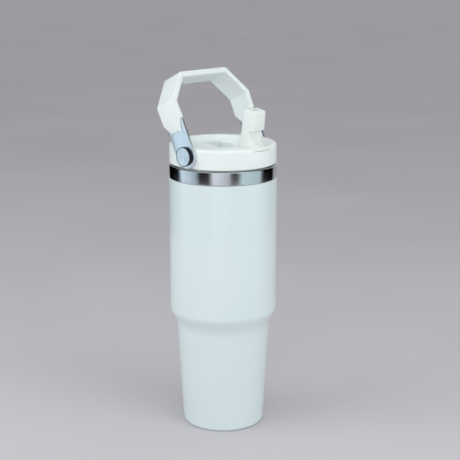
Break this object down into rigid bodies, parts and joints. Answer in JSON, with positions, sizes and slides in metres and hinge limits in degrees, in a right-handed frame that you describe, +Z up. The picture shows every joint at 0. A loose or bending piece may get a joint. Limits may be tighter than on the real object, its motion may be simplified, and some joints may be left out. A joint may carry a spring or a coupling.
{
  "type": "insulated tumbler with lid",
  "caption": "Double-walled steel tumbler with a narrow foot, a screw-on lid, a flip-up straw spout and a swinging carry handle.",
  "frame": {"origin": "centre of the foot ring, on the surface that the tumbler stands on", "axes": "+Z up along the cup's axis; X is the handle's pivot axis; the spout stands on the -Y side and the handle leans back towards +Y"},
  "size_m": [0.095, 0.091, 0.3061],
  "materials": {
    "white_coat": "smooth semi-gloss powder coat",
    "band_steel": "fine brushed round the axis",
    "liner_steel": "spun, electropolished",
    "base_steel": "spun",
    "getter_metal": "sintered, matt",
    "seal_metal": "fused bead",
    "lid_plastic": "satin moulded polypropylene",
    "spout_plastic": "satin moulded",
    "grip_plastic": "satin moulded",
    "silicone": "matt silicone",
    "straw_plastic": "translucent",
    "plate_steel": "satin, brushed along the plate",
    "bolt_steel": "spun face",
    "washer_nylon": "dark nylon",
    "insert_brass": "turned"
  },
  "bodies": {
    "cup": {"outer_shell": "white_coat", "mouth_band": "band_steel", "inner_liner": "liner_steel", "vacuum_base_pan": "base_steel", "getter": "getter_metal", "seal_solder": "seal_metal", "base_cover": "base_steel"},
    "gasket": {"lid_gasket": "silicone"},
    "lid": {"lid_shell": "lid_plastic", "lid_plug": "lid_plastic", "vent_valve": "silicone", "port_seal": "silicone", "straw_socket": "lid_plastic", "spout_pin_left": "bolt_steel", "spout_pin_right": "bolt_steel", "pivot_insert_left": "insert_brass", "pivot_insert_right": "insert_brass", "pivot_washer_left": "washer_nylon", "pivot_washer_right": "washer_nylon", "pivot_bolt_left": "bolt_steel", "pivot_bolt_right": "bolt_steel"},
    "straw": {"straw": "straw_plastic"},
    "spout": {"spout": "spout_plastic"},
    "handle": {"handle_grip": "grip_plastic", "handle_plate_left": "plate_steel", "handle_plate_right": "plate_steel"}
  },
  "joints": [
    {"name": "lid_lift", "type": "slide", "parent": "cup", "child": "gasket", "axis": [0, 0, 1], "range_m": [0, 0.25]},
    {"name": "lid_turn", "type": "hinge", "parent": "gasket", "child": "lid", "pos_m": [0, 0, 0.23], "axis": [0, 0, 1], "range_deg": [0, 450]},
    {"name": "spout_flip", "type": "hinge", "parent": "lid", "child": "spout", "pos_m": [0, -0.0297, 0.2378], "axis": [-1, 0, 0], "range_deg": [0, 90]},
    {"name": "straw_pull", "type": "slide", "parent": "lid", "child": "straw", "axis": [0, 0, -1], "range_m": [0, 0.0085]},
    {"name": "handle_swing", "type": "hinge", "parent": "lid", "child": "handle", "pos_m": [0, 0, 0.2402], "axis": [-1, 0, 0], "range_deg": [-114, 62]}
  ]
}
